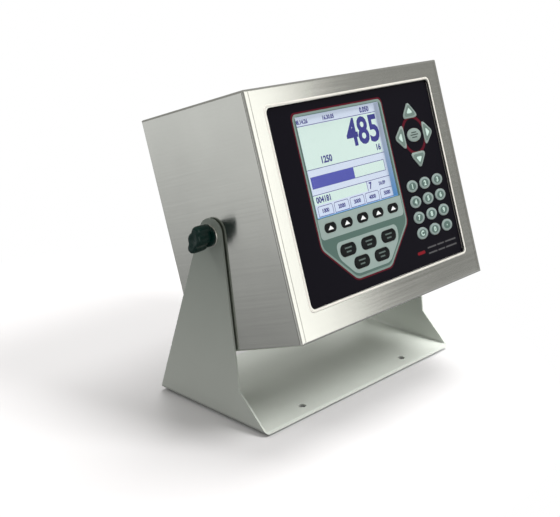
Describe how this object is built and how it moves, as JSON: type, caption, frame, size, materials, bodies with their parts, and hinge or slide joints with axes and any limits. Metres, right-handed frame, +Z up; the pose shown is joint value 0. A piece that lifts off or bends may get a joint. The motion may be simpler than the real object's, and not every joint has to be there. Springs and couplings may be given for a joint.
{
  "type": "weighing indicator",
  "caption": "Panel weighing indicator: brushed steel enclosure with graphic display and membrane keys, on a bent steel stand with two clamping tilt knobs.",
  "frame": {"origin": "middle of the four fixing holes, on the underside of the stand's base", "axes": "+X along the width to the panel's right side, -Y the way the panel faces, +Z up, square to the base"},
  "size_m": [0.3218, 0.1947, 0.289],
  "materials": {
    "brushed_case": "brushed along the depth",
    "satin_stand": "satin",
    "black_rubber": "matte",
    "knob_plastic": "gloss",
    "plated_steel": "bright",
    "bright_washer": "bright",
    "black_nylon": "satin",
    "overlay_film": "satin film",
    "amber_film": "film",
    "aluminium_sheet": "mill",
    "clear_pane": "clear",
    "tinned_frame": "tinned",
    "lcd_glass": "lit display",
    "green_board": "solder mask",
    "brass_hex": "machined",
    "black_parts": "moulded",
    "dark_core": "varnished",
    "grey_cable": "satin",
    "black_key": "satin film",
    "grey_key": "satin film",
    "green_key": "satin film"
  },
  "bodies": {
    "stand": {"stand_bracket": "satin_stand", "stand_feet": "black_rubber"},
    "enclosure": {"spacer_washers": "black_nylon", "enclosure_shell": "brushed_case", "keypad_overlay": "overlay_film", "display_window": "clear_pane", "back_plate": "brushed_case", "back_screws": "plated_steel", "cord_grips": "black_nylon", "grip_nuts": "black_nylon", "grip_plugs": "black_rubber", "pivot_bosses": "plated_steel", "panel_gasket": "black_rubber", "keypad_circuit": "amber_film", "key_domes": "plated_steel", "backing_plate": "aluminium_sheet", "lcd_frame": "tinned_frame", "lcd_glass": "lcd_glass", "lcd_board": "green_board", "standoffs": "brass_hex", "cpu_board": "green_board", "board_components": "black_parts", "supply_board": "green_board", "supply_components": "dark_core", "ribbon_cable": "grey_cable", "inner_fasteners": "plated_steel", "back_gasket": "black_rubber"},
    "left_washer": {"left_knob_washer": "bright_washer"},
    "left_knob": {"left_tilt_knob": "knob_plastic", "left_knob_stud": "plated_steel"},
    "right_washer": {"right_knob_washer": "bright_washer"},
    "right_knob": {"right_tilt_knob": "knob_plastic", "right_knob_stud": "plated_steel"},
    "soft_key_1": {"soft_key_1": "black_key"},
    "soft_key_2": {"soft_key_2": "black_key"},
    "soft_key_3": {"soft_key_3": "black_key"},
    "soft_key_4": {"soft_key_4": "black_key"},
    "soft_key_5": {"soft_key_5": "black_key"},
    "function_key_1": {"function_key_1": "black_key"},
    "function_key_2": {"function_key_2": "black_key"},
    "function_key_3": {"function_key_3": "black_key"},
    "function_key_4": {"function_key_4": "black_key"},
    "function_key_5": {"function_key_5": "black_key"},
    "arrow_up": {"arrow_up": "grey_key"},
    "arrow_right": {"arrow_right": "grey_key"},
    "arrow_down": {"arrow_down": "grey_key"},
    "arrow_left": {"arrow_left": "grey_key"},
    "enter_key": {"enter_key": "grey_key"},
    "key_1": {"key_1": "green_key"},
    "key_2": {"key_2": "green_key"},
    "key_3": {"key_3": "green_key"},
    "key_4": {"key_4": "green_key"},
    "key_5": {"key_5": "green_key"},
    "key_6": {"key_6": "green_key"},
    "key_7": {"key_7": "green_key"},
    "key_8": {"key_8": "green_key"},
    "key_9": {"key_9": "green_key"},
    "key_clear": {"key_clear": "green_key"},
    "key_0": {"key_0": "green_key"},
    "key_point": {"key_point": "green_key"}
  },
  "joints": [
    {"name": "enclosure_tilt", "type": "hinge", "parent": "stand", "child": "enclosure", "pos_m": [0, 0.008, 0.16], "axis": [1, 0, 0], "continuous": true},
    {"name": "left_washer_slide", "type": "slide", "parent": "enclosure", "child": "left_washer", "axis": [-1, 0, 0], "range_m": [0, 0.00381]},
    {"name": "left_knob_turn", "type": "hinge", "parent": "left_washer", "child": "left_knob", "pos_m": [-0.15, 0.008, 0.16], "axis": [-1, 0, 0], "range_deg": [0, 1081]},
    {"name": "right_washer_slide", "type": "slide", "parent": "enclosure", "child": "right_washer", "axis": [1, 0, 0], "range_m": [0, 0.00381]},
    {"name": "right_knob_turn", "type": "hinge", "parent": "right_washer", "child": "right_knob", "pos_m": [0.15, 0.008, 0.16], "axis": [1, 0, 0], "range_deg": [0, 1081]},
    {"name": "soft_key_1_press", "type": "slide", "parent": "enclosure", "child": "soft_key_1", "axis": [0, 0.9336, -0.3584], "range_m": [0, 0.0004], "stiffness_N_per_m": 2000, "springref_m": -0.0004},
    {"name": "soft_key_2_press", "type": "slide", "parent": "enclosure", "child": "soft_key_2", "axis": [0, 0.9336, -0.3584], "range_m": [0, 0.0004], "stiffness_N_per_m": 2000, "springref_m": -0.0004},
    {"name": "soft_key_3_press", "type": "slide", "parent": "enclosure", "child": "soft_key_3", "axis": [0, 0.9336, -0.3584], "range_m": [0, 0.0004], "stiffness_N_per_m": 2000, "springref_m": -0.0004},
    {"name": "soft_key_4_press", "type": "slide", "parent": "enclosure", "child": "soft_key_4", "axis": [0, 0.9336, -0.3584], "range_m": [0, 0.0004], "stiffness_N_per_m": 2000, "springref_m": -0.0004},
    {"name": "soft_key_5_press", "type": "slide", "parent": "enclosure", "child": "soft_key_5", "axis": [0, 0.9336, -0.3584], "range_m": [0, 0.0004], "stiffness_N_per_m": 2000, "springref_m": -0.0004},
    {"name": "function_key_1_press", "type": "slide", "parent": "enclosure", "child": "function_key_1", "axis": [0, 0.9336, -0.3584], "range_m": [0, 0.0004], "stiffness_N_per_m": 2000, "springref_m": -0.0004},
    {"name": "function_key_2_press", "type": "slide", "parent": "enclosure", "child": "function_key_2", "axis": [0, 0.9336, -0.3584], "range_m": [0, 0.0004], "stiffness_N_per_m": 2000, "springref_m": -0.0004},
    {"name": "function_key_3_press", "type": "slide", "parent": "enclosure", "child": "function_key_3", "axis": [0, 0.9336, -0.3584], "range_m": [0, 0.0004], "stiffness_N_per_m": 2000, "springref_m": -0.0004},
    {"name": "function_key_4_press", "type": "slide", "parent": "enclosure", "child": "function_key_4", "axis": [0, 0.9336, -0.3584], "range_m": [0, 0.0004], "stiffness_N_per_m": 2000, "springref_m": -0.0004},
    {"name": "function_key_5_press", "type": "slide", "parent": "enclosure", "child": "function_key_5", "axis": [0, 0.9336, -0.3584], "range_m": [0, 0.0004], "stiffness_N_per_m": 2000, "springref_m": -0.0004},
    {"name": "arrow_up_press", "type": "slide", "parent": "enclosure", "child": "arrow_up", "axis": [0, 0.9336, -0.3584], "range_m": [0, 0.0004], "stiffness_N_per_m": 2000, "springref_m": -0.0004},
    {"name": "arrow_right_press", "type": "slide", "parent": "enclosure", "child": "arrow_right", "axis": [0, 0.9336, -0.3584], "range_m": [0, 0.0004], "stiffness_N_per_m": 2000, "springref_m": -0.0004},
    {"name": "arrow_down_press", "type": "slide", "parent": "enclosure", "child": "arrow_down", "axis": [0, 0.9336, -0.3584], "range_m": [0, 0.0004], "stiffness_N_per_m": 2000, "springref_m": -0.0004},
    {"name": "arrow_left_press", "type": "slide", "parent": "enclosure", "child": "arrow_left", "axis": [0, 0.9336, -0.3584], "range_m": [0, 0.0004], "stiffness_N_per_m": 2000, "springref_m": -0.0004},
    {"name": "enter_key_press", "type": "slide", "parent": "enclosure", "child": "enter_key", "axis": [0, 0.9336, -0.3584], "range_m": [0, 0.0004], "stiffness_N_per_m": 2000, "springref_m": -0.0004},
    {"name": "key_1_press", "type": "slide", "parent": "enclosure", "child": "key_1", "axis": [0, 0.9336, -0.3584], "range_m": [0, 0.0004], "stiffness_N_per_m": 2000, "springref_m": -0.0004},
    {"name": "key_2_press", "type": "slide", "parent": "enclosure", "child": "key_2", "axis": [0, 0.9336, -0.3584], "range_m": [0, 0.0004], "stiffness_N_per_m": 2000, "springref_m": -0.0004},
    {"name": "key_3_press", "type": "slide", "parent": "enclosure", "child": "key_3", "axis": [0, 0.9336, -0.3584], "range_m": [0, 0.0004], "stiffness_N_per_m": 2000, "springref_m": -0.0004},
    {"name": "key_4_press", "type": "slide", "parent": "enclosure", "child": "key_4", "axis": [0, 0.9336, -0.3584], "range_m": [0, 0.0004], "stiffness_N_per_m": 2000, "springref_m": -0.0004},
    {"name": "key_5_press", "type": "slide", "parent": "enclosure", "child": "key_5", "axis": [0, 0.9336, -0.3584], "range_m": [0, 0.0004], "stiffness_N_per_m": 2000, "springref_m": -0.0004},
    {"name": "key_6_press", "type": "slide", "parent": "enclosure", "child": "key_6", "axis": [0, 0.9336, -0.3584], "range_m": [0, 0.0004], "stiffness_N_per_m": 2000, "springref_m": -0.0004},
    {"name": "key_7_press", "type": "slide", "parent": "enclosure", "child": "key_7", "axis": [0, 0.9336, -0.3584], "range_m": [0, 0.0004], "stiffness_N_per_m": 2000, "springref_m": -0.0004},
    {"name": "key_8_press", "type": "slide", "parent": "enclosure", "child": "key_8", "axis": [0, 0.9336, -0.3584], "range_m": [0, 0.0004], "stiffness_N_per_m": 2000, "springref_m": -0.0004},
    {"name": "key_9_press", "type": "slide", "parent": "enclosure", "child": "key_9", "axis": [0, 0.9336, -0.3584], "range_m": [0, 0.0004], "stiffness_N_per_m": 2000, "springref_m": -0.0004},
    {"name": "key_clear_press", "type": "slide", "parent": "enclosure", "child": "key_clear", "axis": [0, 0.9336, -0.3584], "range_m": [0, 0.0004], "stiffness_N_per_m": 2000, "springref_m": -0.0004},
    {"name": "key_0_press", "type": "slide", "parent": "enclosure", "child": "key_0", "axis": [0, 0.9336, -0.3584], "range_m": [0, 0.0004], "stiffness_N_per_m": 2000, "springref_m": -0.0004},
    {"name": "key_point_press", "type": "slide", "parent": "enclosure", "child": "key_point", "axis": [0, 0.9336, -0.3584], "range_m": [0, 0.0004], "stiffness_N_per_m": 2000, "springref_m": -0.0004}
  ],
  "couplings": [
    {"joint": "left_knob_turn", "follows": "left_washer_slide", "rad_per_m": 4947.4},
    {"joint": "right_knob_turn", "follows": "right_washer_slide", "rad_per_m": 4947.4}
  ]
}
